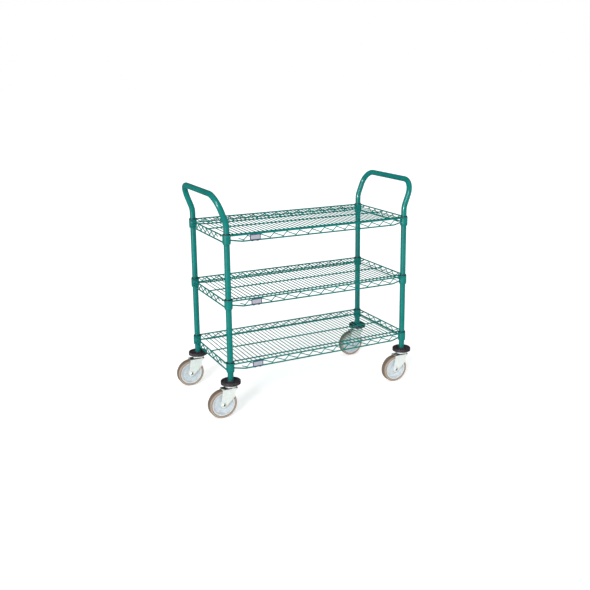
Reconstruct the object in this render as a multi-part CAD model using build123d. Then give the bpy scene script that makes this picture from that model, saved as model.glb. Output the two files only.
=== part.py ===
from build123d import *
import math
import os

# Wire shelf cart: two bent handle posts carry three welded wire shelves on four swivel casters.
# Millimetres. +X runs along the cart, +Y runs towards its rear side, +Z is up.
# The origin lies on the floor, under the middle of the cart's bounding box.

# ---- overall layout ----
POST_SPACING_X = 876.3
POST_SPACING_Y = 419.1
BOTTOM_SHELF_Z = 240.0
SHELF_PITCH = 279.4
SHELF_NAMES = ("bottom", "middle", "top")

# ---- handle posts ----
POST_R = 12.7
POST_WALL = 1.6
GROOVE_PITCH = 25.4
GROOVE_WIDTH = 2.0
GROOVE_DEPTH = 0.5
HANDLE_RISE = 165.0
HANDLE_BEND_START = 28.0
HANDLE_BEND_R = 95.0
HANDLE_LEAN_DEG = 21.0
HANDLE_CORNER_R = 70.0

# ---- shelf collars and split sleeves ----
COLLAR_R = 17.5
COLLAR_HEIGHT = 40.0
COLLAR_TOP_DROP = 1.0
COLLAR_TOP_CHAMFER = 0.75
COLLAR_FOOT_HEIGHT = 6.0
COLLAR_FOOT_TAPER = 1.0
SLEEVE_TOP_R = 14.4
SLEEVE_BOTTOM_R = 15.3
SLEEVE_LIP_R = 16.3
SLEEVE_LIP_HEIGHT = 3.5
SLEEVE_SPLIT_DEG = 4.0
SLEEVE_RIB_DROP = 20.0
TAPER_BAND = 4.0
SLIP_GAP = 0.05

# ---- shelf wires ----
RAIL_R = 3.175
RAIL_DROP = 4.4
RAIL_DEPTH = 27.5
RAIL_OFFSET = COLLAR_R - RAIL_R
LOWER_RAIL_END_OFFSET = 2.0
LOWER_RAIL_END_RISE = 8.0
LOWER_RAIL_BEND_LENGTH = 46.0
LOWER_RAIL_BEND_R = 40.0
DECK_WIRE_R = 1.8
DECK_WIRE_COUNT = 43
DECK_WIRE_MARGIN = 20.5
WELD_GAP = 0.03
SUPPORT_ROD_R = 2.8
SUPPORT_ROD_INSET = 51.0
TRUSS_R = 2.0
TRUSS_BEND_R = 4.5
TRUSS_STEEP_RUN = 18.0
TRUSS_FIRST_TOP = 88.0
TRUSS_LAST_TOP = 62.0
TRUSS_TARGET_PITCH = 61.0
TRUSS_STUB = 22.0

# ---- label holder ----
LABEL_WIDTH = 48.0
LABEL_HEIGHT = 24.5
LABEL_THICKNESS = 3.0
LABEL_RIM = 3.0
LABEL_RECESS = 1.0
LABEL_FROM_POST = 97.0
LABEL_HOOK_WIDTH = 7.0
LABEL_HOOK_WALL = 1.5

# ---- casters ----
WHEEL_R = 62.5
WHEEL_WIDTH = 32.0
CASTER_TRAIL = 41.0
TREAD_THICKNESS = 11.5
TREAD_CORNER_R = 6.0
RIM_WIDTH = 29.0
RIM_R = 45.0
WEB_WIDTH = 12.0
WEB_STEP_R = 31.0
WEB_STEP_WIDTH = 15.0
HUB_R = 16.0
HUB_LENGTH = 34.0
HUB_CHAMFER = 1.5
CORE_DRAFT = 1.5
BUSHING_R = 8.0
BUSHING_LENGTH = 35.4
AXLE_R = 5.0
RUNNING_GAP = 0.05
AXLE_HEAD_R = 8.0
AXLE_HEAD_HEIGHT = 4.0
AXLE_HEAD_RIM = 1.6
AXLE_HEAD_FACE_R = 4.8
AXLE_SOCKET_R = 3.2
AXLE_SOCKET_DEPTH = 2.5
AXLE_END = 30.0
NUT_ACROSS_FLATS = 15.0
NUT_HEIGHT = 7.0
NUT_DOME_R = 6.4
NUT_DOME_HEIGHT = 1.5

FORK_GAP = 36.0
FORK_WALL = 3.0
FORK_BEND_R = 5.5
FORK_CROWN_TOP = 131.0
FORK_CROWN_WALL = 3.5
FORK_CROWN_BACK = 43.0
FORK_CROWN_FRONT = 24.5
FORK_EYE_R = 13.0
FORK_SHOULDER_X = 10.0
FORK_SHOULDER_Z = 92.0
FORK_THROAT_X = 12.0
FORK_THROAT_Z = 115.0
FORK_BOSS_R = 10.5
FORK_BOSS_HEIGHT = 0.8

LOWER_RACE_INNER_R = 13.0
LOWER_RACE_OUTER_R = 22.5
LOWER_RACE_HEIGHT = 1.6
BALL_R = 2.5
BALL_COUNT = 16
BALL_CIRCLE_R = 18.0
BALL_Z = 134.2
UPPER_RACE_BOTTOM = 137.2
UPPER_RACE_TOP = 144.0
UPPER_RACE_R = 27.0
UPPER_RACE_SKIRT_WALL = 1.8
UPPER_RACE_SKIRT_BOTTOM = 133.6
UPPER_RACE_CHAMFER = 3.0

STEM_R = 6.0
STEM_HEAD_R = 10.0
STEM_HEAD_HEIGHT = 4.0
STEM_HEAD_GAP = 0.3
EDGE_CHAMFER = 1.0
STEM_TOP = 196.0
INSERT_HEIGHT = 42.0
BUMPER_TOP = 162.5
BUMPER_R = 43.0
BUMPER_RIM_BOTTOM = 147.0
BUMPER_RIM_TOP = 161.5
BUMPER_RIM_WIDTH = 6.0
BUMPER_RIM_ROUND = 2.0
BUMPER_DISH = 158.0
BUMPER_SEAT_R = 16.5
BUMPER_DISH_SLOPE = 3.0
BUMPER_BOTTOM_R = 31.0

# ---- sizes that follow from the ones above ----
SHELF_Z = {name: BOTTOM_SHELF_Z + level * SHELF_PITCH for level, name in enumerate(SHELF_NAMES)}
POST_BOTTOM = BUMPER_TOP
POST_STRAIGHT_TOP = SHELF_Z["top"] + HANDLE_BEND_START
POST_BORE_R = POST_R - POST_WALL
CORE_R = WHEEL_R - TREAD_THICKNESS

LEAN = math.radians(HANDLE_LEAN_DEG)
BEND_OUT = HANDLE_BEND_R * (1 - math.cos(LEAN))
BEND_UP = HANDLE_BEND_R * math.sin(LEAN)
HANDLE_SLOPE = (HANDLE_RISE - HANDLE_BEND_START - BEND_UP) / math.cos(LEAN)
HANDLE_REACH = BEND_OUT + HANDLE_SLOPE * math.sin(LEAN)

# The wheels trail towards -X, so the box's middle is not midway between the posts.
LEFT_EXTENT = max(HANDLE_REACH + POST_R, CASTER_TRAIL + WHEEL_R)
RIGHT_EXTENT = max(HANDLE_REACH + POST_R, WHEEL_R - CASTER_TRAIL)
CENTRE_X = (LEFT_EXTENT - RIGHT_EXTENT) / 2

POST_X = {"left": CENTRE_X - POST_SPACING_X / 2, "right": CENTRE_X + POST_SPACING_X / 2}
POST_Y = {"front": -POST_SPACING_Y / 2, "rear": POST_SPACING_Y / 2}
OUTWARD = {"left": -1, "right": 1}
CORNERS = [(row, side) for row in POST_Y for side in POST_X]

UPPER_RAIL_Z = -RAIL_DROP
LOWER_RAIL_Z = -RAIL_DROP - RAIL_DEPTH
SUPPORT_ROD_Z = UPPER_RAIL_Z - RAIL_R - WELD_GAP - SUPPORT_ROD_R
DECK_WIRE_Z = SUPPORT_ROD_Z + SUPPORT_ROD_R + WELD_GAP + DECK_WIRE_R
TRUSS_TO_RAIL = RAIL_R + WELD_GAP + TRUSS_R


def corner_point(row, side, z=0.0):
    """The axis of one post, at height z."""
    return Vector(POST_X[side], POST_Y[row], z)


def turned(points, centre=Vector(0, 0, 0), arc=360, first=0):
    """A solid turned about a vertical axis from (radius, height) points, through an arc in degrees."""
    outline = Polyline([(r, 0, z) for r, z in points], close=True)
    solid = revolve(make_face(outline), Axis.Z, revolution_arc=arc, clean=False)
    return Pos(centre.X, centre.Y, 0) * Rot(0, 0, first) * solid


def taper(start, end):
    """Points down a tapered side. Short bands keep its facets as fine as those of its ends."""
    bands = math.ceil(abs(end[1] - start[1]) / TAPER_BAND)
    (r_start, z_start), (r_end, z_end) = start, end
    steps = [band / bands for band in range(bands + 1)]
    return [(r_start + (r_end - r_start) * t, z_start + (z_end - z_start) * t) for t in steps]


def turned_about_axle(points):
    """A solid of revolution about the wheel's axle from (radius, distance along the axle) points."""
    outline = Polyline([(r, y, 0) for r, y in points], close=True)
    return revolve(make_face(outline), Axis.Y)


def rod(start, end, radius):
    """A straight round wire between two points."""
    start, end = Vector(*start), Vector(*end)
    plane = Plane(origin=start, z_dir=end - start)
    return extrude(plane * Circle(radius), (end - start).length)


def bent_rod(path, radius):
    """A round wire swept along a path of straight runs and arcs."""
    section = Plane(origin=path @ 0, z_dir=path % 0) * Circle(radius)
    return sweep(section, path)


# ---------------------------------------------------------------- handle posts


def grooved_tube(row, side):
    """One straight post tube with the shallow rings that locate the shelf sleeves."""
    lowest = SHELF_Z["bottom"] - SLEEVE_RIB_DROP
    lowest -= GROOVE_PITCH * math.floor((lowest - POST_BOTTOM - GROOVE_WIDTH) / GROOVE_PITCH)
    highest = SHELF_Z["top"] - SLEEVE_RIB_DROP
    count = round((highest - lowest) / GROOVE_PITCH) + 1
    outline = [(POST_BORE_R, POST_BOTTOM), (POST_R, POST_BOTTOM)]
    for step in range(count):
        z = lowest + step * GROOVE_PITCH
        outline += [(POST_R, z - GROOVE_WIDTH / 2), (POST_R - GROOVE_DEPTH, z - GROOVE_WIDTH / 2)]
        outline += [(POST_R - GROOVE_DEPTH, z + GROOVE_WIDTH / 2), (POST_R, z + GROOVE_WIDTH / 2)]
    outline += [(POST_R, POST_STRAIGHT_TOP), (POST_BORE_R, POST_STRAIGHT_TOP)]
    return turned(outline, corner_point(row, side))


def handle_path(side):
    """The centre line of one handle: out over the cart's end, across, and back in."""
    out = OUTWARD[side]
    x = POST_X[side]
    lean_along = Vector(out * math.sin(LEAN), 0, math.cos(LEAN))
    runs = []
    front = Vector(x, POST_Y["front"], POST_STRAIGHT_TOP)
    rear = Vector(x, POST_Y["rear"], POST_STRAIGHT_TOP)
    bend_top = Vector(out * BEND_OUT, 0, BEND_UP)
    half = LEAN / 2
    bend_mid = Vector(out * HANDLE_BEND_R * (1 - math.cos(half)), 0, HANDLE_BEND_R * math.sin(half))
    leg = lean_along * (HANDLE_SLOPE - HANDLE_CORNER_R)
    corner_rise = lean_along * HANDLE_CORNER_R
    corner_in = Vector(0, HANDLE_CORNER_R, 0)
    diagonal = math.sqrt(0.5)
    corner_up = corner_rise * diagonal
    corner_over = corner_in * (1 - diagonal)

    runs.append(ThreePointArc(front, front + bend_mid, front + bend_top))
    leg_top = front + bend_top + leg
    runs.append(Line(front + bend_top, leg_top))
    bar_start = leg_top + corner_rise + corner_in
    runs.append(ThreePointArc(leg_top, leg_top + corner_up + corner_over, bar_start))
    rear_leg_top = rear + bend_top + leg
    bar_end = rear_leg_top + corner_rise - corner_in
    runs.append(Line(bar_start, bar_end))
    runs.append(ThreePointArc(bar_end, rear_leg_top + corner_up - corner_over, rear_leg_top))
    runs.append(Line(rear_leg_top, rear + bend_top))
    runs.append(ThreePointArc(rear + bend_top, rear + bend_mid, rear))
    return Wire(runs)


def handle_post(side):
    """Two posts and the handle between them, bent from one piece of tube."""
    path = handle_path(side)
    start = Plane(origin=path @ 0, z_dir=path % 0)
    ring = start * (Circle(POST_R) - Circle(POST_BORE_R))
    bent = sweep(ring, path)
    posts = [grooved_tube(row, side) for row in POST_Y]
    return [posts[0] + bent + posts[1]]


# ---------------------------------------------------------------- shelves
# A shelf is drawn with its post plane at z = 0 and copied to each level.


def shelf_collars():
    """The four tapered sockets at the shelf's corners."""
    top = -COLLAR_TOP_DROP
    bottom = top - COLLAR_HEIGHT
    outline = [
        (SLEEVE_TOP_R + SLIP_GAP, top),
        (COLLAR_R - COLLAR_TOP_CHAMFER, top),
        (COLLAR_R, top - COLLAR_TOP_CHAMFER),
        (COLLAR_R, bottom + COLLAR_FOOT_HEIGHT),
        (COLLAR_R - COLLAR_FOOT_TAPER, bottom),
    ]
    outline += taper((SLEEVE_BOTTOM_R + SLIP_GAP, bottom), (SLEEVE_TOP_R + SLIP_GAP, top))[:-1]
    return [turned(outline, corner_point(row, side)) for row, side in CORNERS]


def shelf_sleeves():
    """Two tapered half sleeves per corner, which wedge each collar onto its post."""
    top = -COLLAR_TOP_DROP
    bottom = top - COLLAR_HEIGHT
    inner = POST_R + SLIP_GAP
    rib = POST_R - GROOVE_DEPTH + SLIP_GAP
    half_rib = GROOVE_WIDTH / 2 - SLIP_GAP
    outline = [(inner, bottom)] + taper((SLEEVE_BOTTOM_R, bottom), (SLEEVE_TOP_R, top))
    outline += [
        (SLEEVE_LIP_R, top),
        (SLEEVE_LIP_R, top + SLEEVE_LIP_HEIGHT),
        (inner, top + SLEEVE_LIP_HEIGHT),
        (inner, -SLEEVE_RIB_DROP + half_rib),
        (rib, -SLEEVE_RIB_DROP + half_rib),
        (rib, -SLEEVE_RIB_DROP - half_rib),
        (inner, -SLEEVE_RIB_DROP - half_rib),
    ]
    arc = 180 - SLEEVE_SPLIT_DEG
    starts = (-90 + SLEEVE_SPLIT_DEG / 2, 90 + SLEEVE_SPLIT_DEG / 2)
    centres = [corner_point(row, side) for row, side in CORNERS]
    return [turned(outline, centre, arc, first) for centre in centres for first in starts]


def corner_posts_cutter():
    """Solid cylinders over the collars, used to cope the rail ends."""
    return [
        Pos(POST_X[side], POST_Y[row], -COLLAR_HEIGHT / 2) * Cylinder(COLLAR_R, 2 * COLLAR_HEIGHT)
        for row, side in CORNERS
    ]


def side_frames():
    """Each side of the shelf as (left end, right end, outward direction), seen from outside."""
    front_left, front_right = corner_point("front", "left"), corner_point("front", "right")
    rear_left, rear_right = corner_point("rear", "left"), corner_point("rear", "right")
    return [
        (front_left, front_right, Vector(0, -1, 0)),
        (front_right, rear_right, Vector(1, 0, 0)),
        (rear_right, rear_left, Vector(0, 1, 0)),
        (rear_left, front_left, Vector(-1, 0, 0)),
    ]


def lower_rail(start, end, out):
    """The lower rail of a long side, whose ends bend in and up to the middle of the collars."""
    along = (end - start).normalized()
    outer = out * RAIL_OFFSET + Vector(0, 0, LOWER_RAIL_Z)
    inner = out * LOWER_RAIL_END_OFFSET + Vector(0, 0, LOWER_RAIL_Z + LOWER_RAIL_END_RISE)
    inset = along * (COLLAR_R / 2)
    run_in = along * (COLLAR_R + LOWER_RAIL_BEND_LENGTH)
    path = FilletPolyline(
        start + inner + inset,
        start + outer + run_in,
        end + outer - run_in,
        end + inner - inset,
        radius=LOWER_RAIL_BEND_R,
    )
    return bent_rod(path, RAIL_R)


def straight_rail(start, end, out, z):
    """A rail that runs straight between the outsides of two collars."""
    shift = out * RAIL_OFFSET + Vector(0, 0, z)
    return rod(start + shift, end + shift, RAIL_R)


def shelf_rails():
    """Upper and lower rails on all four sides, coped to the collars."""
    rails = []
    for start, end, out in side_frames():
        bars = [straight_rail(start, end, out, UPPER_RAIL_Z)]
        if out.Y:
            bars.append(lower_rail(start, end, out))
        else:
            bars.append(straight_rail(start, end, out, LOWER_RAIL_Z))
        for bar in bars:
            for cutter in corner_posts_cutter():
                bar = bar - cutter
            rails.append(max(bar.solids(), key=lambda solid: solid.volume))
    return rails


def truss_wire(start, end, out):
    """The snaking wire between the rails of one side: steep up, gentle down, seen from outside.

    The short sides swap the two end lengths, which puts low bends under the support rods.
    """
    first_top, end_length = TRUSS_FIRST_TOP, TRUSS_LAST_TOP
    if out.X:
        first_top, end_length = TRUSS_LAST_TOP, TRUSS_FIRST_TOP
    along = (end - start).normalized()
    last_top = (end - start).length - end_length
    count = math.ceil((last_top - first_top) / TRUSS_TARGET_PITCH)
    pitch = (last_top - first_top) / count
    high = UPPER_RAIL_Z - TRUSS_TO_RAIL
    low = LOWER_RAIL_Z + TRUSS_TO_RAIL
    middle = (high + low) / 2
    base = start + out * RAIL_OFFSET

    def point(distance, z):
        return base + along * distance + Vector(0, 0, z)

    first_low = first_top - TRUSS_STEEP_RUN
    points = [point(first_low - TRUSS_STUB, middle), point(first_low, low)]
    for step in range(count):
        top = first_top + step * pitch
        points.append(point(top, high))
        points.append(point(top + pitch - TRUSS_STEEP_RUN, low))
    points += [point(last_top, high), point(last_top + TRUSS_STUB, middle)]
    return bent_rod(FilletPolyline(*points, radius=TRUSS_BEND_R), TRUSS_R)


def shelf_trusses():
    return [truss_wire(*frame) for frame in side_frames()]


def shelf_deck_wires():
    """The closely spaced wires that run across the shelf, on the support rods, from rail to rail."""
    first = POST_X["left"] + DECK_WIRE_MARGIN
    last = POST_X["right"] - DECK_WIRE_MARGIN
    pitch = (last - first) / (DECK_WIRE_COUNT - 1)
    reach = POST_SPACING_Y / 2 + RAIL_OFFSET - RAIL_R - WELD_GAP
    wires = []
    for number in range(DECK_WIRE_COUNT):
        x = first + number * pitch
        wires.append(rod((x, -reach, DECK_WIRE_Z), (x, reach, DECK_WIRE_Z), DECK_WIRE_R))
    return wires


def shelf_support_rods():
    """Three rods along the shelf, under the deck wires and the upper rails of the short sides."""
    outer_y = POST_SPACING_Y / 2 + RAIL_OFFSET - SUPPORT_ROD_INSET
    left = POST_X["left"] - RAIL_OFFSET
    right = POST_X["right"] + RAIL_OFFSET
    rods = []
    for y in (-outer_y, 0, outer_y):
        rods.append(rod((left, y, SUPPORT_ROD_Z), (right, y, SUPPORT_ROD_Z), SUPPORT_ROD_R))
    return rods


def shelf_label_holder():
    """A blank label holder on the front rails, with two hooks round the lower rail."""
    face_y = POST_Y["front"] - RAIL_OFFSET - RAIL_R - WELD_GAP
    middle_x = POST_X["left"] + LABEL_FROM_POST + LABEL_WIDTH / 2
    middle_z = (UPPER_RAIL_Z + LOWER_RAIL_Z) / 2
    centre = (middle_x, face_y - LABEL_THICKNESS / 2, middle_z)
    plate = Pos(*centre) * Box(LABEL_WIDTH, LABEL_THICKNESS, LABEL_HEIGHT)
    plate = fillet(plate.edges().filter_by(Axis.Y), LABEL_RIM)
    window = Pos(middle_x, face_y - LABEL_THICKNESS + LABEL_RECESS / 2, middle_z) * Box(
        LABEL_WIDTH - 2 * LABEL_RIM, LABEL_RECESS, LABEL_HEIGHT - 2 * LABEL_RIM
    )
    plate = plate - window
    rail_y = POST_Y["front"] - RAIL_OFFSET
    hook_r = RAIL_R + WELD_GAP + LABEL_HOOK_WALL
    for shift in (-LABEL_WIDTH / 4, LABEL_WIDTH / 4):
        sleeve = Pos(middle_x + shift, rail_y, LOWER_RAIL_Z) * Rot(0, 90, 0)
        hook = sleeve * Cylinder(hook_r, LABEL_HOOK_WIDTH) - sleeve * Cylinder(
            RAIL_R + WELD_GAP, 2 * LABEL_HOOK_WIDTH
        )
        upper_half = Pos(middle_x + shift, rail_y + hook_r, LOWER_RAIL_Z + hook_r) * Box(
            2 * LABEL_HOOK_WIDTH, 4 * hook_r - 2 * LABEL_THICKNESS, 2 * hook_r
        )
        plate = plate + (hook - upper_half)
    return [plate]


SHELF_PIECES = {
    "collars": shelf_collars,
    "split_sleeves": shelf_sleeves,
    "rails": shelf_rails,
    "trusses": shelf_trusses,
    "deck_wires": shelf_deck_wires,
    "support_rods": shelf_support_rods,
    "label_holder": shelf_label_holder,
}


# ---------------------------------------------------------------- casters, fixed half
# A caster is drawn with its swivel axis on the z axis and copied to each corner.


def bumper():
    """The round rubber bumper clamped between the post and the caster, dished on top."""
    rim_inner = BUMPER_R - BUMPER_RIM_WIDTH
    return turned(
        [
            (STEM_R + SLIP_GAP, UPPER_RACE_TOP),
            (BUMPER_BOTTOM_R, UPPER_RACE_TOP),
            (BUMPER_R, BUMPER_RIM_BOTTOM),
            (BUMPER_R, BUMPER_RIM_TOP - BUMPER_RIM_ROUND),
            (BUMPER_R - BUMPER_RIM_ROUND, BUMPER_RIM_TOP),
            (rim_inner, BUMPER_RIM_TOP),
            (rim_inner - BUMPER_DISH_SLOPE, BUMPER_DISH),
            (BUMPER_SEAT_R + BUMPER_DISH_SLOPE, BUMPER_DISH),
            (BUMPER_SEAT_R, BUMPER_TOP),
            (STEM_R + SLIP_GAP, BUMPER_TOP),
        ]
    )


def caster_stem():
    """The king bolt: its head holds the fork up and its shank screws into the post."""
    head_top = FORK_CROWN_TOP - FORK_CROWN_WALL - STEM_HEAD_GAP
    head_bottom = head_top - STEM_HEAD_HEIGHT
    return turned(
        [
            (0, head_bottom),
            (STEM_HEAD_R - EDGE_CHAMFER, head_bottom),
            (STEM_HEAD_R, head_bottom + EDGE_CHAMFER),
            (STEM_HEAD_R, head_top),
            (STEM_R, head_top),
            (STEM_R, STEM_TOP - EDGE_CHAMFER),
            (STEM_R - EDGE_CHAMFER, STEM_TOP),
            (0, STEM_TOP),
        ]
    )


def post_insert():
    """The threaded plug pressed into the foot of the post."""
    top = POST_BOTTOM + INSERT_HEIGHT
    return turned(
        [
            (STEM_R + SLIP_GAP, POST_BOTTOM),
            (POST_BORE_R - SLIP_GAP, POST_BOTTOM),
            (POST_BORE_R - SLIP_GAP, top - EDGE_CHAMFER),
            (POST_BORE_R - SLIP_GAP - EDGE_CHAMFER, top),
            (STEM_R + SLIP_GAP, top),
        ]
    )


def upper_race():
    """The pressed cap that the balls run under, with its dust skirt."""
    skirt_inner = UPPER_RACE_R - UPPER_RACE_SKIRT_WALL
    return turned(
        [
            (STEM_R + SLIP_GAP, UPPER_RACE_BOTTOM),
            (skirt_inner, UPPER_RACE_BOTTOM),
            (skirt_inner, UPPER_RACE_SKIRT_BOTTOM),
            (UPPER_RACE_R, UPPER_RACE_SKIRT_BOTTOM),
            (UPPER_RACE_R, UPPER_RACE_TOP - UPPER_RACE_CHAMFER),
            (UPPER_RACE_R - UPPER_RACE_CHAMFER, UPPER_RACE_TOP),
            (STEM_R + SLIP_GAP, UPPER_RACE_TOP),
        ]
    )


# ---------------------------------------------------------------- casters, swivelling half


def fork_side_outline():
    """The fork seen from its side: a broad crown that narrows to a round eye at the axle."""
    eye = (-CASTER_TRAIL, WHEEL_R)
    crown_back = (-FORK_CROWN_BACK, FORK_CROWN_TOP)
    shoulder = (FORK_SHOULDER_X, FORK_SHOULDER_Z)
    throat = (FORK_THROAT_X, FORK_THROAT_Z)
    crown_front = (FORK_CROWN_FRONT, FORK_CROWN_TOP - FORK_BEND_R)
    blade = Plane.XZ * make_face(
        Polyline(
            crown_back,
            tangent_point(crown_back, eye, FORK_EYE_R, 1),
            eye,
            tangent_point(shoulder, eye, FORK_EYE_R, -1),
            shoulder,
            throat,
            crown_front,
            (FORK_CROWN_FRONT, FORK_CROWN_TOP),
            close=True,
        )
    )
    lug = Plane.XZ * Pos(*eye) * Circle(FORK_EYE_R)
    return blade + lug


def tangent_point(point, centre, radius, side):
    """Where the tangent from an outside point touches a circle."""
    dx, dz = point[0] - centre[0], point[1] - centre[1]
    angle = math.atan2(dz, dx) + side * math.acos(radius / math.hypot(dx, dz))
    return (centre[0] + radius * math.cos(angle), centre[1] + radius * math.sin(angle))


def fork():
    """The pressed steel fork with its crown, two legs, axle eyes and lower ball race."""
    half_outer = FORK_GAP / 2 + FORK_WALL
    height = FORK_CROWN_TOP - WHEEL_R + FORK_EYE_R
    depth = FORK_CROWN_BACK + FORK_CROWN_FRONT + 2 * FORK_EYE_R
    middle_z = FORK_CROWN_TOP - height / 2
    outer = Pos(-CASTER_TRAIL / 2, 0, middle_z) * Box(2 * depth, 2 * half_outer, height)
    top_edges = outer.edges().filter_by(Axis.X).group_by(Axis.Z)[-1]
    outer = fillet(top_edges, FORK_BEND_R)
    inner = Pos(-CASTER_TRAIL / 2, 0, middle_z - FORK_CROWN_WALL) * Box(3 * depth, FORK_GAP, height)
    top_edges = inner.edges().filter_by(Axis.X).group_by(Axis.Z)[-1]
    inner = fillet(top_edges, FORK_BEND_R - FORK_WALL)
    channel = outer - inner
    side = extrude(fork_side_outline(), 2 * half_outer, both=True)
    body = channel & side
    for out in (-1, 1):
        boss = Pos(-CASTER_TRAIL, out * (half_outer + FORK_BOSS_HEIGHT / 2), WHEEL_R) * Rot(90, 0, 0)
        body = body + boss * Cylinder(FORK_BOSS_R, FORK_BOSS_HEIGHT)
    axle_hole = Pos(-CASTER_TRAIL, 0, WHEEL_R) * Rot(90, 0, 0)
    body = body - axle_hole * Cylinder(AXLE_R + SLIP_GAP, 4 * half_outer)
    race = turned(
        [
            (LOWER_RACE_INNER_R, FORK_CROWN_TOP),
            (LOWER_RACE_OUTER_R, FORK_CROWN_TOP),
            (LOWER_RACE_OUTER_R - LOWER_RACE_HEIGHT / 2, FORK_CROWN_TOP + LOWER_RACE_HEIGHT),
            (LOWER_RACE_INNER_R + LOWER_RACE_HEIGHT / 2, FORK_CROWN_TOP + LOWER_RACE_HEIGHT),
        ]
    )
    body = body + race
    groove = Pos(0, 0, BALL_Z) * Torus(BALL_CIRCLE_R, BALL_R + SLIP_GAP)
    king_hole = Pos(0, 0, FORK_CROWN_TOP) * Cylinder(STEM_R + RUNNING_GAP, 4 * FORK_CROWN_WALL)
    return body - groove - king_hole


def bearing_balls():
    """The ring of balls between the fork and the upper race."""
    balls = []
    for number in range(BALL_COUNT):
        angle = 2 * math.pi * number / BALL_COUNT
        place = Pos(BALL_CIRCLE_R * math.cos(angle), BALL_CIRCLE_R * math.sin(angle), BALL_Z)
        balls.append(place * Sphere(BALL_R))
    return balls


def at_axle(shape):
    """Moves a shape drawn about the origin to the axle's middle."""
    return Pos(-CASTER_TRAIL, 0, WHEEL_R) * shape


def axle_bolt():
    """The shouldered bolt through both fork legs, with a round socket head in front."""
    seat = FORK_GAP / 2 + FORK_WALL + FORK_BOSS_HEIGHT
    bolt = turned_about_axle(
        [
            (0, AXLE_END),
            (AXLE_R - EDGE_CHAMFER, AXLE_END),
            (AXLE_R, AXLE_END - EDGE_CHAMFER),
            (AXLE_R, -seat),
            (AXLE_HEAD_R, -seat),
            (AXLE_HEAD_R, -seat - AXLE_HEAD_RIM),
            (AXLE_HEAD_FACE_R, -seat - AXLE_HEAD_HEIGHT),
            (0, -seat - AXLE_HEAD_HEIGHT),
        ]
    )
    socket_plane = Plane(origin=(0, -seat - AXLE_HEAD_HEIGHT, 0), z_dir=(0, 1, 0))
    socket = extrude(socket_plane * RegularPolygon(AXLE_SOCKET_R, 6), AXLE_SOCKET_DEPTH)
    return at_axle(bolt - socket)


def axle_nut():
    """The domed lock nut at the rear end of the axle bolt."""
    seat = FORK_GAP / 2 + FORK_WALL + FORK_BOSS_HEIGHT
    face = Plane(origin=(0, seat, 0), z_dir=(0, 1, 0))
    hexagon = RegularPolygon(NUT_ACROSS_FLATS / 2, 6, major_radius=False)
    nut = extrude(face * hexagon, NUT_HEIGHT)
    crest = Plane(origin=(0, seat + NUT_HEIGHT, 0), z_dir=(0, 1, 0))
    nut = nut + extrude(crest * Circle(NUT_DOME_R), NUT_DOME_HEIGHT)
    bore = extrude(face * Circle(AXLE_R + SLIP_GAP), 2 * NUT_HEIGHT)
    return at_axle(nut - bore)


# ---------------------------------------------------------------- casters, wheels


def wheel_core():
    """The rigid wheel centre: hub, stepped web and rim."""
    hub, web, step, rim = HUB_LENGTH / 2, WEB_WIDTH / 2, WEB_STEP_WIDTH / 2, RIM_WIDTH / 2
    half = [
        (BUSHING_R + SLIP_GAP, hub),
        (HUB_R - HUB_CHAMFER, hub),
        (HUB_R, hub - HUB_CHAMFER),
        (HUB_R + CORE_DRAFT, web),
        (WEB_STEP_R, web),
        (WEB_STEP_R + CORE_DRAFT, step),
        (RIM_R - CORE_DRAFT, step),
        (RIM_R, rim),
        (CORE_R, rim),
    ]
    return at_axle(turned_about_axle(half + [(r, -y) for r, y in reversed(half)]))


def wheel_tread():
    """The cast tread ring round the core."""
    half = WHEEL_WIDTH / 2
    ring = turned_about_axle([(CORE_R, -half), (WHEEL_R, -half), (WHEEL_R, half), (CORE_R, half)])
    outer_edges = [edge for edge in ring.edges().filter_by(GeomType.CIRCLE) if edge.radius > WHEEL_R - 1]
    return at_axle(fillet(outer_edges, TREAD_CORNER_R))


def hub_bushing():
    """The plain bushing pressed into the hub, which turns on the axle bolt."""
    half = BUSHING_LENGTH / 2
    inner = AXLE_R + RUNNING_GAP
    return at_axle(
        turned_about_axle([(inner, -half), (BUSHING_R, -half), (BUSHING_R, half), (inner, half)])
    )


CASTER_PIECES = {
    "bumper": bumper,
    "fork": fork,
    "axle_bolt": axle_bolt,
    "axle_nut": axle_nut,
    "wheel_core": wheel_core,
    "wheel_tread": wheel_tread,
    "hub_bushing": hub_bushing,
}
SHARED_CASTER_PIECES = {
    "caster_stems": caster_stem,
    "post_inserts": post_insert,
    "upper_races": upper_race,
}


# ---------------------------------------------------------------- writing the parts


def write(node, solids):
    export_step(Compound(children=solids) if len(solids) > 1 else solids[0], f"parts/{node}.step")


def placed(shape, location):
    """A separate copy of a shape at a new place."""
    return location * shape


def main():
    os.makedirs("parts", exist_ok=True)
    for side in POST_X:
        write(f"{side}_handle_post", handle_post(side))
    for piece, make in SHELF_PIECES.items():
        solids = make()
        for name, z in SHELF_Z.items():
            write(f"{name}_shelf_{piece}", [placed(solid, Pos(0, 0, z)) for solid in solids])
    spots = {f"{row}_{side}": Pos(POST_X[side], POST_Y[row], 0) for row, side in CORNERS}
    for piece, make in CASTER_PIECES.items():
        solid = make()
        for corner, spot in spots.items():
            write(f"{corner}_{piece}", [placed(solid, spot)])
    balls = bearing_balls()
    for corner, spot in spots.items():
        write(f"{corner}_bearing_balls", [placed(ball, spot) for ball in balls])
    for node, make in SHARED_CASTER_PIECES.items():
        solid = make()
        write(node, [placed(solid, spot) for spot in spots.values()])
    print("cart height", SHELF_Z["top"] + HANDLE_RISE + POST_R)


main()
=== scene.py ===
"""Looks for the wire shelf cart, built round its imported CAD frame.

Metres. +X runs along the cart, +Y towards its rear side, +Z up, and the floor is z = 0.
"""

import math
import random

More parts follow.
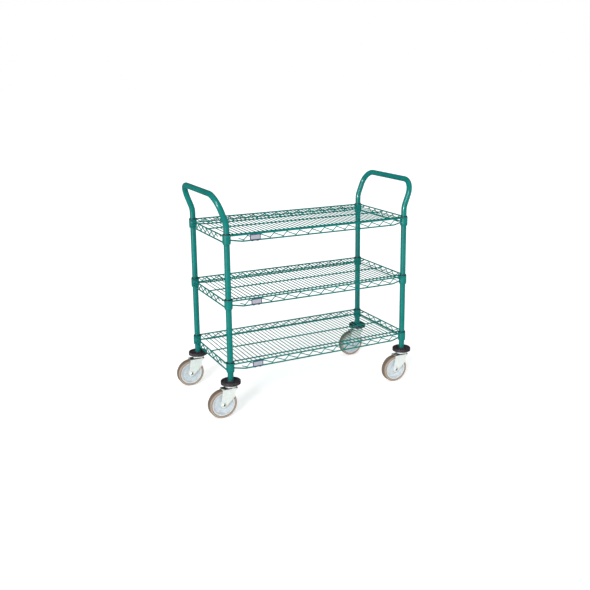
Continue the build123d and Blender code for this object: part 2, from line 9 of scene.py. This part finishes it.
import bmesh
import bpy
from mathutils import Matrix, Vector


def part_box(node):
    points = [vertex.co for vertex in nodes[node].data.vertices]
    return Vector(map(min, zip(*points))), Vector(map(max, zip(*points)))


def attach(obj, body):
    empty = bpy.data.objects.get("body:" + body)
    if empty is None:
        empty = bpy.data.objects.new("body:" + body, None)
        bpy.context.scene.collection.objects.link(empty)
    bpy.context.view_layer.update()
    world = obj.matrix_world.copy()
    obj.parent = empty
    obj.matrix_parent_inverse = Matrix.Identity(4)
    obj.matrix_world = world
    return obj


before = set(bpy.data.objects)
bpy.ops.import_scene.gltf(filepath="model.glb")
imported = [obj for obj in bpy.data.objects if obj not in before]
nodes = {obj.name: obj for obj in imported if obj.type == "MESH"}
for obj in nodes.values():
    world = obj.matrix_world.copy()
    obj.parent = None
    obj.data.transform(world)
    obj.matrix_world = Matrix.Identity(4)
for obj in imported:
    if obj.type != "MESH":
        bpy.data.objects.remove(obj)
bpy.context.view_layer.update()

# ---- names ----
SHELVES = ("bottom", "middle", "top")
CORNERS = ("front_left", "front_right", "rear_left", "rear_right")
FRAME_BODY = "cart_frame"

# ---- camera ----
CAMERA_PLACE = Vector((-1.5813, -3.2488, 1.4533))
CAMERA_VIEW = Vector((0.47150, 0.85485, -0.21660))
CAMERA_LENS_MM = 48.68
CAMERA_SENSOR_MM = 36.0
CAMERA_SHIFT = (-0.0675, -0.0779)

# ---- floor and lights ----
FLOOR_HALF_WIDTH = 60.0
# How bright the white room is: as light on things, in their reflections, and as the background.
ROOM_LIGHT = 0.5
ROOM_GLOSS = 0.08
ROOM_SEEN = 1.0

# ---- shelf wires ----
RAIL_R = 0.003175
RAIL_OFFSET = 0.014325
DECK_WIRE_COUNT = 43
DECK_WIRE_MARGIN = 0.0205
SUPPORT_ROD_R = 0.0028
COLLAR_R = 0.0175
TRUSS_FIRST_TOP = 0.088
TRUSS_LAST_TOP = 0.062
TRUSS_STEEP_RUN = 0.018
TRUSS_TARGET_PITCH = 0.061

# ---- welds and rod tips: half sizes, and how uneven the welds are ----
WELD_UNEVENNESS = 0.08
DECK_TO_RAIL_WELD = (0.0024, 0.0013, 0.0022)
DECK_TO_ROD_WELD = (0.0025, 0.0024, 0.0011)
ROD_TO_RAIL_WELD = (0.0026, 0.0030, 0.0011)
ROD_TIP = (SUPPORT_ROD_R * 0.5, SUPPORT_ROD_R * 1.01, SUPPORT_ROD_R * 1.01)
TRUSS_WELD_LENGTH = 0.0034
TRUSS_WELD_WIDTH = 0.0022
TRUSS_WELD_HEIGHT = 0.0013
COLLAR_BEAD_LENGTH = 0.0020
COLLAR_BEAD_WIDTH = 0.0040
COLLAR_BEAD_HEIGHT = 0.0042

# ---- label cards ----
LABEL_HEIGHT = 0.0245
LABEL_RIM = 0.003
LABEL_RECESS = 0.001
CARD_GAP = 0.0003
CARD_CORNER = 0.001
CARD_THICKNESS = 0.0007
CARD_CORNER_STEPS = 6
# From the back of the card to its front, as (share of the outline, share of the thickness).
CARD_DOME = ((1.0, 0.0), (1.0, 0.55), (0.985, 0.85), (0.95, 0.97), (0.6, 1.0))

# ---- casters ----
TREAD_R = 0.0625
TREAD_WEAR_DEPTH = 0.003
TREAD_WORN_SKIN = 0.0005
CORE_R = 0.051
CORE_EDGE_WIDTH = 0.0035
CORE_RINGS_PER_METRE = 827.6
HUB_R = 0.012
HUB_SHADE_R = 0.030
# Height band of the painted shade in the gap between each swivel race and its fork crown.
RACE_SHADE_BOTTOM = 0.1285
RACE_SHADE_TOP = 0.1355
SOFT_EDGE = 0.001
AXLE_SOCKET_R = 0.0032
AXLE_SOCKET_EDGE = 0.0006

random.seed(7)


def middle(node):
    """The middle of a CAD node's box."""
    low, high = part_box(node)
    return (low + high) / 2


POSTS = {corner: middle(f"{corner}_bumper").xy for corner in CORNERS}
AXLES = {corner: middle(f"{corner}_wheel_core") for corner in CORNERS}


# ---------------------------------------------------------------- material helpers


class Look:
    """A Principled material whose colour, roughness and bump are driven by noise nodes."""

    def __init__(self, name, **fixed):
        self.material = bpy.data.materials.new(name)
        self.material.use_nodes = True
        self.tree = self.material.node_tree
        self.shader = self.tree.nodes["Principled BSDF"]
        for socket, value in fixed.items():
            self.shader.inputs[socket.replace("_", " ")].default_value = value
        self.place = self.tree.nodes.new("ShaderNodeTexCoord").outputs["Object"]

    def node(self, kind, inputs=None, **settings):
        """Adds a node. Each input is given a value, or is linked when it is given another node's output."""
        made = self.tree.nodes.new(kind)
        for key, value in settings.items():
            setattr(made, key, value)
        for key, value in (inputs or {}).items():
            if isinstance(value, bpy.types.NodeSocket):
                self.tree.links.new(value, made.inputs[key])
            else:
                made.inputs[key].default_value = value
        return made

    def noise(self, scale, detail=3.0, stretch=None, rough=0.55):
        """Cloudy noise, scale in lumps per metre."""
        place = self.place
        if stretch:
            place = self.node("ShaderNodeMapping", {"Vector": place, "Scale": stretch}).outputs["Vector"]
        made = self.node(
            "ShaderNodeTexNoise",
            {"Vector": place, "Scale": scale, "Detail": detail, "Roughness": rough},
        )
        return made.outputs["Fac"]

    def cells(self, scale):
        """A random grey for each of many small crystal-like cells."""
        made = self.node("ShaderNodeTexVoronoi", {"Vector": self.place, "Scale": scale})
        grey = self.node("ShaderNodeRGBToBW", {"Color": made.outputs["Color"]})
        return grey.outputs["Val"]

    def calc(self, operation, first, second=0.0):
        """One step of arithmetic."""
        return self.node("ShaderNodeMath", {0: first, 1: second}, operation=operation).outputs["Value"]

    def span(self, value, low, high, to_low, to_high):
        """Stretches value from low..high to to_low..to_high, and clamps it."""
        inputs = {"Value": value, "From Min": low, "From Max": high, "To Min": to_low, "To Max": to_high}
        return self.node("ShaderNodeMapRange", inputs).outputs["Result"]

    def ramp(self, value, stops):
        """A colour from value, through stops of (position, colour)."""
        made = self.node("ShaderNodeValToRGB", {"Fac": value})
        band = made.color_ramp
        while len(band.elements) < len(stops):
            band.elements.new(1.0)
        for element, (position, colour) in zip(band.elements, stops):
            element.position = position
            element.color = (*colour, 1.0)
        return made.outputs["Color"]

    def blend(self, amount, first, second):
        """Mixes two colours by amount."""
        made = self.node("ShaderNodeMix", data_type="RGBA")
        for name, value in (("Factor_Float", amount), ("A_Color", first), ("B_Color", second)):
            socket = next(s for s in made.inputs if s.identifier == name)
            if isinstance(value, bpy.types.NodeSocket):
                self.tree.links.new(value, socket)
            else:
                socket.default_value = (*value, 1.0)
        return next(s for s in made.outputs if s.identifier == "Result_Color")

    def radius_from(self, centre):
        """Distance from a wheel's axle line."""
        kind = "ShaderNodeVectorMath"
        moved = self.node(kind, {0: self.place, 1: centre}, operation="SUBTRACT")
        flat = self.node(kind, {0: moved.outputs["Vector"], 1: (1, 0, 1)}, operation="MULTIPLY")
        return self.node(kind, {0: flat.outputs["Vector"]}, operation="LENGTH").outputs["Value"]

    def height(self):
        """Height above the floor while the cart stands at rest."""
        return self.node("ShaderNodeSeparateXYZ", {"Vector": self.place}).outputs["Z"]

    def upward(self):
        """1 on faces that look up, 0 on the rest."""
        normal = self.node("ShaderNodeNewGeometry").outputs["Normal"]
        z = self.node("ShaderNodeSeparateXYZ", {"Vector": normal}).outputs["Z"]
        return self.span(z, 0.35, 0.95, 0.0, 1.0)

    def bumps(self, *layers):
        """Adds bump layers of (height, strength, distance in metres)."""
        normal = None
        for height, strength, distance in layers:
            inputs = {"Height": height, "Strength": strength, "Distance": distance}
            if normal:
                inputs["Normal"] = normal
            normal = self.node("ShaderNodeBump", inputs).outputs["Normal"]
        self.tree.links.new(normal, self.shader.inputs["Normal"])

    def paint(self, colour, roughness=None):
        """Links the colour and roughness to the shader, and hands over the finished material."""
        self.tree.links.new(colour, self.shader.inputs["Base Color"])
        if roughness:
            self.tree.links.new(roughness, self.shader.inputs["Roughness"])
        return self.material


# ---------------------------------------------------------------- materials


def epoxy_look():
    """Baked green epoxy: a slightly uneven glossy coat with faint scuffs on top of the wires."""
    look = Look("green_epoxy_coat", Coat_Weight=0.3, Coat_Roughness=0.16, Specular_IOR_Level=0.25)
    deep = (0.0, 0.160, 0.140)
    bright = (0.0, 0.222, 0.195)
    speckled = (0.0, 0.260, 0.230)
    scuffed = (0.02, 0.33, 0.30)
    colour = look.ramp(look.noise(9.0, 4.0), [(0.3, deep), (0.7, bright)])
    speckles = look.span(look.noise(240.0, 3.0), 0.35, 0.75, 0.0, 0.35)
    colour = look.blend(speckles, colour, speckled)
    scuffs = look.span(look.noise(75.0, 8.0, rough=0.7), 0.60, 0.72, 0.0, 0.4)
    colour = look.blend(look.calc("MULTIPLY", scuffs, look.upward()), colour, scuffed)
    roughness = look.span(look.noise(60.0, 5.0), 0.3, 0.7, 0.26, 0.36)
    look.bumps((look.noise(900.0, 2.0), 0.22, 0.00012), (look.noise(130.0, 3.0), 0.12, 0.0003))
    return look.paint(colour, roughness)


def black_plastic_look():
    """Black moulded plastic with a fine pebble and a dusty bloom."""
    look = Look("black_sleeve_plastic", Specular_IOR_Level=0.4)
    black = (0.008, 0.008, 0.010)
    dusty = (0.035, 0.036, 0.040)
    colour = look.ramp(look.noise(110.0, 5.0), [(0.35, black), (0.75, dusty)])
    roughness = look.span(look.noise(300.0, 3.0), 0.3, 0.7, 0.38, 0.6)
    look.bumps((look.noise(1500.0, 2.0), 0.3, 0.0001))
    return look.paint(colour, roughness)


def label_look():
    """Glossy blue moulded label holder."""
    look = Look("label_holder_plastic", Coat_Weight=0.25, Coat_Roughness=0.1)
    deep = (0.030, 0.075, 0.16)
    pale = (0.055, 0.120, 0.22)
    colour = look.ramp(look.noise(60.0, 4.0), [(0.3, deep), (0.75, pale)])
    roughness = look.span(look.noise(400.0, 2.0), 0.3, 0.7, 0.22, 0.36)
    look.bumps((look.noise(1100.0, 2.0), 0.12, 0.0001))
    return look.paint(colour, roughness)


def card_look():
    """Blank grey card: paper fibres and a few warm stains."""
    look = Look("blank_label_card", Specular_IOR_Level=0.25)
    fibre = look.noise(420.0, 6.0, stretch=(1.0, 1.0, 4.0))
    grey = (0.32, 0.34, 0.38)
    pale = (0.48, 0.47, 0.53)
    stained = (0.50, 0.35, 0.36)
    stains = look.span(look.noise(45.0, 3.0), 0.5, 0.8, 0.0, 0.5)
    colour = look.blend(stains, look.ramp(fibre, [(0.3, grey), (0.7, pale)]), stained)
    look.bumps((fibre, 0.2, 0.0001))
    return look.paint(colour, look.span(fibre, 0.3, 0.7, 0.55, 0.75))


def zinc_look():
    """Bright zinc plate: faint crystals, press marks, cloudy patches and painted shade in the gap at the
    races.
    """
    look = Look("zinc_plate", Metallic=0.15)
    grey = (0.73, 0.80, 0.77)
    bright = (0.90, 0.96, 0.92)
    clouded = (0.74, 0.79, 0.75)
    # Near-black colour of the painted shade at the races.
    grease_and_painted_shade = (0.02, 0.02, 0.022)
    crystal = look.cells(190.0)
    streak = look.noise(260.0, 4.0, stretch=(1.0, 1.0, 0.08))
    mixed = look.calc("ADD", look.calc("MULTIPLY", crystal, 0.4), look.calc("MULTIPLY", streak, 0.6))
    colour = look.ramp(mixed, [(0.25, grey), (0.75, bright)])
    cloud = look.span(look.noise(38.0, 5.0), 0.48, 0.75, 0.0, 0.45)
    colour = look.blend(cloud, colour, clouded)
    # Painted shade: the gap between swivel race and fork crown is painted near black in blotches, standing
    # in for the shadow there.
    height = look.height()
    above = look.span(height, RACE_SHADE_BOTTOM, RACE_SHADE_BOTTOM + SOFT_EDGE, 0.0, 1.0)
    below = look.span(height, RACE_SHADE_TOP, RACE_SHADE_TOP + SOFT_EDGE, 1.0, 0.0)
    blotches = look.span(look.noise(55.0, 3.0), 0.42, 0.50, 0.0, 0.95)
    painted_race_shade = look.calc("MULTIPLY", look.calc("MULTIPLY", above, below), blotches)
    colour = look.blend(painted_race_shade, colour, grease_and_painted_shade)
    roughness = look.span(mixed, 0.25, 0.75, 0.46, 0.28)
    look.bumps((streak, 0.10, 0.0001), (look.noise(90.0, 3.0), 0.10, 0.0003))
    return look.paint(colour, roughness)


def axle_look(corner):
    """Zinc plated bolt with painted shade in its socket recess."""
    look = Look(f"{corner}_axle_zinc", Metallic=0.4)
    grey = (0.55, 0.60, 0.58)
    bright = (0.78, 0.82, 0.79)
    # Near-black colour of the painted shade in the socket.
    grease_and_painted_shade = (0.035, 0.040, 0.042)
    streak = look.noise(300.0, 4.0)
    colour = look.ramp(streak, [(0.3, grey), (0.75, bright)])
    # Painted shade: a disc over the socket recess is painted near black.
    radius = look.radius_from(AXLES[corner])
    socket = look.span(radius, AXLE_SOCKET_R, AXLE_SOCKET_R + AXLE_SOCKET_EDGE, 1.0, 0.0)
    colour = look.blend(socket, colour, grease_and_painted_shade)
    look.bumps((streak, 0.12, 0.0001))
    return look.paint(colour, look.span(streak, 0.3, 0.7, 0.26, 0.44))


def ball_look():
    """Polished bearing steel under a film of lubricant."""
    look = Look("bearing_steel", Metallic=1.0)
    steel = (0.72, 0.73, 0.75)
    grease_and_painted_shade = (0.50, 0.46, 0.38)
    blotches = look.noise(180.0, 4.0)
    colour = look.ramp(blotches, [(0.35, steel), (0.7, grease_and_painted_shade)])
    look.bumps((look.noise(700.0, 2.0), 0.05, 0.00005))
    return look.paint(colour, look.span(blotches, 0.3, 0.7, 0.08, 0.3))


def rubber_look():
    """Dark moulded rubber speckled with dust."""
    look = Look("bumper_rubber", Specular_IOR_Level=0.3)
    black = (0.010, 0.008, 0.012)
    worn = (0.034, 0.027, 0.036)
    dusty = (0.125, 0.108, 0.122)
    cloud = look.noise(70.0, 6.0, rough=0.65)
    colour = look.ramp(cloud, [(0.3, black), (0.75, worn)])
    dust = look.span(look.noise(150.0, 7.0, rough=0.7), 0.47, 0.66, 0.0, 0.75)
    colour = look.blend(dust, colour, dusty)
    look.bumps((look.noise(1200.0, 3.0), 0.35, 0.00015), (look.noise(160.0, 3.0), 0.2, 0.0004))
    return look.paint(colour, look.span(cloud, 0.3, 0.7, 0.5, 0.72))


def bushing_look():
    """Self-lubricating white plastic."""
    look = Look("bushing_plastic", Specular_IOR_Level=0.35)
    cream = (0.60, 0.59, 0.54)
    pale = (0.80, 0.79, 0.74)
    colour = look.ramp(look.noise(120.0, 5.0), [(0.35, cream), (0.7, pale)])
    look.bumps((look.noise(900.0, 2.0), 0.12, 0.0001))
    return look.paint(colour, look.span(look.noise(260.0, 3.0), 0.3, 0.7, 0.4, 0.55))


def core_look(corner):
    """Pale blue-grey moulded wheel centre: paler rim edge, flow clouds and faint turning rings."""
    look = Look(f"{corner}_core_plastic", Specular_IOR_Level=0.35)
    grey = (0.50, 0.56, 0.59)
    pale = (0.68, 0.74, 0.77)
    edge_pale = (0.90, 0.90, 0.88)
    hub_grey = (0.38, 0.42, 0.46)
    radius = look.radius_from(AXLES[corner])
    colour = look.ramp(look.noise(55.0, 5.0), [(0.3, grey), (0.72, pale)])
    edge = look.span(radius, CORE_R - CORE_EDGE_WIDTH, CORE_R - SOFT_EDGE, 0.0, 0.85)
    colour = look.blend(edge, colour, edge_pale)
    hub_shade = look.span(radius, HUB_R, HUB_SHADE_R, 0.35, 0.0)
    colour = look.blend(hub_shade, colour, hub_grey)
    rings = look.calc("SINE", look.calc("MULTIPLY", radius, CORE_RINGS_PER_METRE * 2 * math.pi))
    look.bumps((rings, 0.08, 0.0001), (look.noise(500.0, 3.0), 0.15, 0.00015))
    return look.paint(colour, look.span(look.noise(200.0, 3.0), 0.3, 0.7, 0.42, 0.6))


def tread_look(corner):
    """Tan cast urethane: a painted highlight band across the flank, painted shade towards its edges and on
    the rolling face, and a scatter of floor scuffs.
    """
    look = Look(f"{corner}_tread_urethane", Coat_Weight=0.12, Coat_Roughness=0.3, Specular_IOR_Level=0.4)
    radius = look.radius_from(AXLES[corner])
    across = look.span(radius, CORE_R, TREAD_R, 0.0, 1.0)
    dark = (0.200, 0.150, 0.112)
    tan = (0.310, 0.236, 0.178)
    pale = (0.460, 0.375, 0.300)
    clouded = (0.25, 0.190, 0.142)
    scuffed = (0.075, 0.060, 0.050)
    # Painted light: across the flank, a painted highlight in the middle and painted shade towards the inner
    # and outer edges, which also darkens the rolling face.
    colour = look.ramp(across, [(0.0, dark), (0.18, tan), (0.5, pale), (0.82, tan), (1.0, dark)])
    cloud = look.span(look.noise(85.0, 6.0, rough=0.65), 0.4, 0.75, 0.0, 0.4)
    colour = look.blend(cloud, colour, clouded)
    scuffs = look.span(look.noise(420.0, 6.0, rough=0.75), 0.56, 0.70, 0.0, 0.6)
    rolling_face = look.span(radius, TREAD_R - TREAD_WEAR_DEPTH, TREAD_R - TREAD_WORN_SKIN, 0.1, 1.0)
    colour = look.blend(look.calc("MULTIPLY", scuffs, rolling_face), colour, scuffed)
    look.bumps((look.noise(800.0, 3.0), 0.2, 0.00015), (look.noise(120.0, 4.0), 0.15, 0.0004))
    return look.paint(colour, look.span(look.noise(140.0, 4.0), 0.3, 0.7, 0.34, 0.52))


def dress_cad_nodes():
    """Gives every CAD node the look of its material slot."""
    plain = {
        "green_epoxy": epoxy_look(),
        "black_plastic": black_plastic_look(),
        "label_plastic": label_look(),
        "zinc_steel": zinc_look(),
        "ball_steel": ball_look(),
        "bumper_rubber": rubber_look(),
        "bushing_plastic": bushing_look(),
    }
    for name, node in nodes.items():
        slot = node.material_slots[0]
        base = slot.material.name.split(".")[0]
        if base == "core_plastic":
            slot.material = core_look(name.replace("_wheel_core", ""))
        elif base == "tread_urethane":
            slot.material = tread_look(name.replace("_wheel_tread", ""))
        elif name.endswith("_axle_bolt"):
            slot.material = axle_look(name.replace("_axle_bolt", ""))
        else:
            slot.material = plain[base]
    return plain


looks = dress_cad_nodes()


# ---------------------------------------------------------------- mesh helpers


def finish_mesh(name, bm, material, body):
    """Turns a bmesh into a smooth piece that rides on a body."""
    bmesh.ops.recalc_face_normals(bm, faces=bm.faces)
    mesh = bpy.data.meshes.new(name)
    bm.to_mesh(mesh)
    bm.free()
    mesh.polygons.foreach_set("use_smooth", [True] * len(mesh.polygons))
    mesh.materials.append(material)
    piece = bpy.data.objects.new(name, mesh)
    bpy.context.scene.collection.objects.link(piece)
    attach(piece, body)


def add_nugget(bm, place, half_sizes, uneven=WELD_UNEVENNESS):
    """A small rounded lump, such as a weld under its paint."""
    made = bmesh.ops.create_icosphere(bm, subdivisions=2, radius=1.0)
    for vertex in made["verts"]:
        swell = 1 + random.uniform(-uneven, uneven)
        vertex.co = Vector(place) + Vector(a * b * swell for a, b in zip(vertex.co, half_sizes))


# ---------------------------------------------------------------- welds


def deck_wire_places():
    """The x of every deck wire."""
    first = POSTS["front_left"].x + DECK_WIRE_MARGIN
    last = POSTS["front_right"].x - DECK_WIRE_MARGIN
    pitch = (last - first) / (DECK_WIRE_COUNT - 1)
    return [first + number * pitch for number in range(DECK_WIRE_COUNT)]


def support_rod_lines(shelf):
    """The y of the three support rods, from their box."""
    low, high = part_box(f"{shelf}_shelf_support_rods")
    return (low.y + SUPPORT_ROD_R, (low.y + high.y) / 2, high.y - SUPPORT_ROD_R)


def add_deck_welds(bm, shelf):
    """Every deck wire is welded to the insides of both long rails and on top of the support rods."""
    low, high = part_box(f"{shelf}_shelf_deck_wires")
    middle_z = (low.z + high.z) / 2
    for x in deck_wire_places():
        for y in (low.y, high.y):
            add_nugget(bm, (x, y, middle_z), DECK_TO_RAIL_WELD)
        for y in support_rod_lines(shelf):
            add_nugget(bm, (x, y, low.z), DECK_TO_ROD_WELD)


def add_rod_end_welds(bm, shelf):
    """The support rods are welded under the end rails, and the coating rounds their sheared ends."""
    low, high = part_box(f"{shelf}_shelf_support_rods")
    middle_z = (low.z + high.z) / 2
    for x, inward in ((low.x, 1), (high.x, -1)):
        for y in support_rod_lines(shelf):
            add_nugget(bm, (x + inward * SUPPORT_ROD_R, y, high.z), ROD_TO_RAIL_WELD)
            add_nugget(bm, (x, y, middle_z), ROD_TIP, uneven=0.0)


def sides():
    """Each side of a shelf as (start, end, outward), in the same order all round."""
    posts = {corner: Vector((place.x, place.y, 0)) for corner, place in POSTS.items()}
    return [
        (posts["front_left"], posts["front_right"], Vector((0, -1, 0))),
        (posts["front_right"], posts["rear_right"], Vector((1, 0, 0))),
        (posts["rear_right"], posts["rear_left"], Vector((0, 1, 0))),
        (posts["rear_left"], posts["front_left"], Vector((-1, 0, 0))),
    ]


def lengthwise(along, length, width, height):
    """Half sizes of a lump that lies along x or along y."""
    if abs(along.x) > abs(along.y):
        return (length, width, height)
    return (width, length, height)


def add_truss_welds(bm, shelf):
    """The snaking wire is welded between the rails at every bend."""
    low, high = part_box(f"{shelf}_shelf_rails")
    upper_z = high.z - 2 * RAIL_R
    lower_z = low.z + 2 * RAIL_R
    for start, end, out in sides():
        first_top, end_length = TRUSS_FIRST_TOP, TRUSS_LAST_TOP
        if out.x:
            first_top, end_length = TRUSS_LAST_TOP, TRUSS_FIRST_TOP
        along = (end - start).normalized()
        sizes = lengthwise(along, TRUSS_WELD_LENGTH, TRUSS_WELD_WIDTH, TRUSS_WELD_HEIGHT)
        last_top = (end - start).length - end_length
        count = math.ceil((last_top - first_top) / TRUSS_TARGET_PITCH)
        pitch = (last_top - first_top) / count
        for step in range(count + 1):
            top = first_top + step * pitch
            upper = start + along * top + out * RAIL_OFFSET
            lower = upper - along * TRUSS_STEEP_RUN
            add_nugget(bm, (upper.x, upper.y, upper_z), sizes)
            add_nugget(bm, (lower.x, lower.y, lower_z), sizes)


def add_collar_welds(bm, shelf):
    """Weld beads where the upper rails meet the collars."""
    _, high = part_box(f"{shelf}_shelf_rails")
    z = high.z - RAIL_R
    reach = math.sqrt(COLLAR_R ** 2 - RAIL_OFFSET ** 2)
    for start, end, out in sides():
        along = (end - start).normalized()
        sizes = lengthwise(along, COLLAR_BEAD_LENGTH, COLLAR_BEAD_WIDTH, COLLAR_BEAD_HEIGHT)
        for post, inward in ((start, 1), (end, -1)):
            place = post + out * RAIL_OFFSET + along * inward * reach
            add_nugget(bm, (place.x, place.y, z), sizes)


def build_welds():
    """One piece of welds for each shelf."""
    for shelf in SHELVES:
        bm = bmesh.new()
        add_deck_welds(bm, shelf)
        add_rod_end_welds(bm, shelf)
        add_truss_welds(bm, shelf)
        add_collar_welds(bm, shelf)
        finish_mesh(f"{shelf}_shelf_welds", bm, looks["green_epoxy"], FRAME_BODY)


build_welds()


# ---------------------------------------------------------------- label cards


def rounded_outline(half_width, half_height, corner):
    """The outline of a rounded rectangle, anticlockwise."""
    points = []
    for number, (sx, sz) in enumerate(((1, 1), (-1, 1), (-1, -1), (1, -1))):
        centre = (sx * (half_width - corner), sz * (half_height - corner))
        for step in range(CARD_CORNER_STEPS + 1):
            angle = math.radians(90 * number + 90 * step / CARD_CORNER_STEPS)
            points.append((centre[0] + corner * math.cos(angle), centre[1] + corner * math.sin(angle)))
    return points


def build_label_card(shelf):
    """A blank card in the holder's window, slightly domed, with softened edges."""
    low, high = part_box(f"{shelf}_shelf_label_holder")
    centre_x = (low.x + high.x) / 2
    centre_z = high.z - LABEL_HEIGHT / 2
    window_y = low.y + LABEL_RECESS
    half_width = (high.x - low.x) / 2 - LABEL_RIM - CARD_GAP
    half_height = LABEL_HEIGHT / 2 - LABEL_RIM - CARD_GAP
    bm = bmesh.new()
    loops = []
    for scale, rise in CARD_DOME:
        outline = rounded_outline(half_width * scale, half_height * scale, CARD_CORNER * scale)
        y = window_y - rise * CARD_THICKNESS
        loops.append([bm.verts.new((centre_x + x, y, centre_z + z)) for x, z in outline])
    for outer, inner in zip(loops, loops[1:]):
        for a in range(len(outer)):
            b = (a + 1) % len(outer)
            bm.faces.new((outer[a], outer[b], inner[b], inner[a]))
    bm.faces.new(loops[0])
    bm.faces.new(loops[-1])
    finish_mesh(f"{shelf}_shelf_label_card", bm, card_material, FRAME_BODY)


card_material = card_look()
for shelf_name in SHELVES:
    build_label_card(shelf_name)


# ---------------------------------------------------------------- stage, lights and camera


def build_floor():
    """A plain pale floor that glows a little and shows in no reflection."""
    mesh = bpy.data.meshes.new("floor")
    directions = ((-1, -1), (1, -1), (1, 1), (-1, 1))
    corners = [(x * FLOOR_HALF_WIDTH, y * FLOOR_HALF_WIDTH, 0) for x, y in directions]
    mesh.from_pydata(corners, [], [(0, 1, 2, 3)])
    floor = bpy.data.objects.new("floor", mesh)
    bpy.context.scene.collection.objects.link(floor)
    look = Look("pale_floor", Roughness=0.9, Specular_IOR_Level=0.1, Emission_Strength=0.5)
    pale = (0.90, 0.90, 0.90)
    paler = (0.93, 0.93, 0.93)
    mesh.materials.append(look.paint(look.ramp(look.noise(1.5, 2.0), [(0.3, pale), (0.7, paler)])))
    floor.visible_glossy = False


def add_sun(name, direction, strength, spread, only_gloss=False):
    """A soft light from far away, with its spread in degrees. It may be kept for highlights alone."""
    light = bpy.data.lights.new(name, "SUN")
    light.energy = strength
    light.angle = math.radians(spread)
    lamp = bpy.data.objects.new(name, light)
    lamp.rotation_euler = Vector(direction).to_track_quat("-Z", "Y").to_euler()
    lamp.visible_diffuse = not only_gloss
    bpy.context.scene.collection.objects.link(lamp)


def build_lights():
    """A white room, dimmer as light and nearly dark in reflections, and three suns."""
    world = bpy.data.worlds.new("pale_room")
    world.use_nodes = True
    tree = world.node_tree
    seen = tree.nodes.new("ShaderNodeLightPath")
    backdrop = tree.nodes["Background"]
    backdrop.inputs["Color"].default_value = (1.0, 1.0, 1.0, 1.0)
    strength = ROOM_LIGHT
    for ray, level in (("Is Glossy Ray", ROOM_GLOSS), ("Is Camera Ray", ROOM_SEEN)):
        choice = tree.nodes.new("ShaderNodeMix")
        choice.inputs["B"].default_value = level
        tree.links.new(seen.outputs[ray], choice.inputs["Factor"])
        if isinstance(strength, bpy.types.NodeSocket):
            tree.links.new(strength, choice.inputs["A"])
        else:
            choice.inputs["A"].default_value = strength
        strength = choice.outputs["Result"]
    tree.links.new(strength, backdrop.inputs["Strength"])
    bpy.context.scene.world = world
    add_sun("key_light", (0.60, 0.62, -0.42), strength=1.8, spread=16.0)
    add_sun("top_light", (-0.15, 0.10, -1.0), strength=0.15, spread=40.0)
    add_sun("streak_light", (0.86, 0.50, -0.03), strength=3.5, spread=6.0, only_gloss=True)


def build_camera():
    """The view from the front, left of the cart and above it."""
    camera = bpy.data.cameras.new("camera")
    camera.lens = CAMERA_LENS_MM
    camera.sensor_width = CAMERA_SENSOR_MM
    camera.shift_x, camera.shift_y = CAMERA_SHIFT
    holder = bpy.data.objects.new("camera", camera)
    holder.location = CAMERA_PLACE
    holder.rotation_euler = CAMERA_VIEW.to_track_quat("-Z", "Y").to_euler()
    bpy.context.scene.collection.objects.link(holder)
    bpy.context.scene.camera = holder


build_floor()
build_lights()
build_camera()
bpy.context.scene.view_settings.view_transform = "Standard"
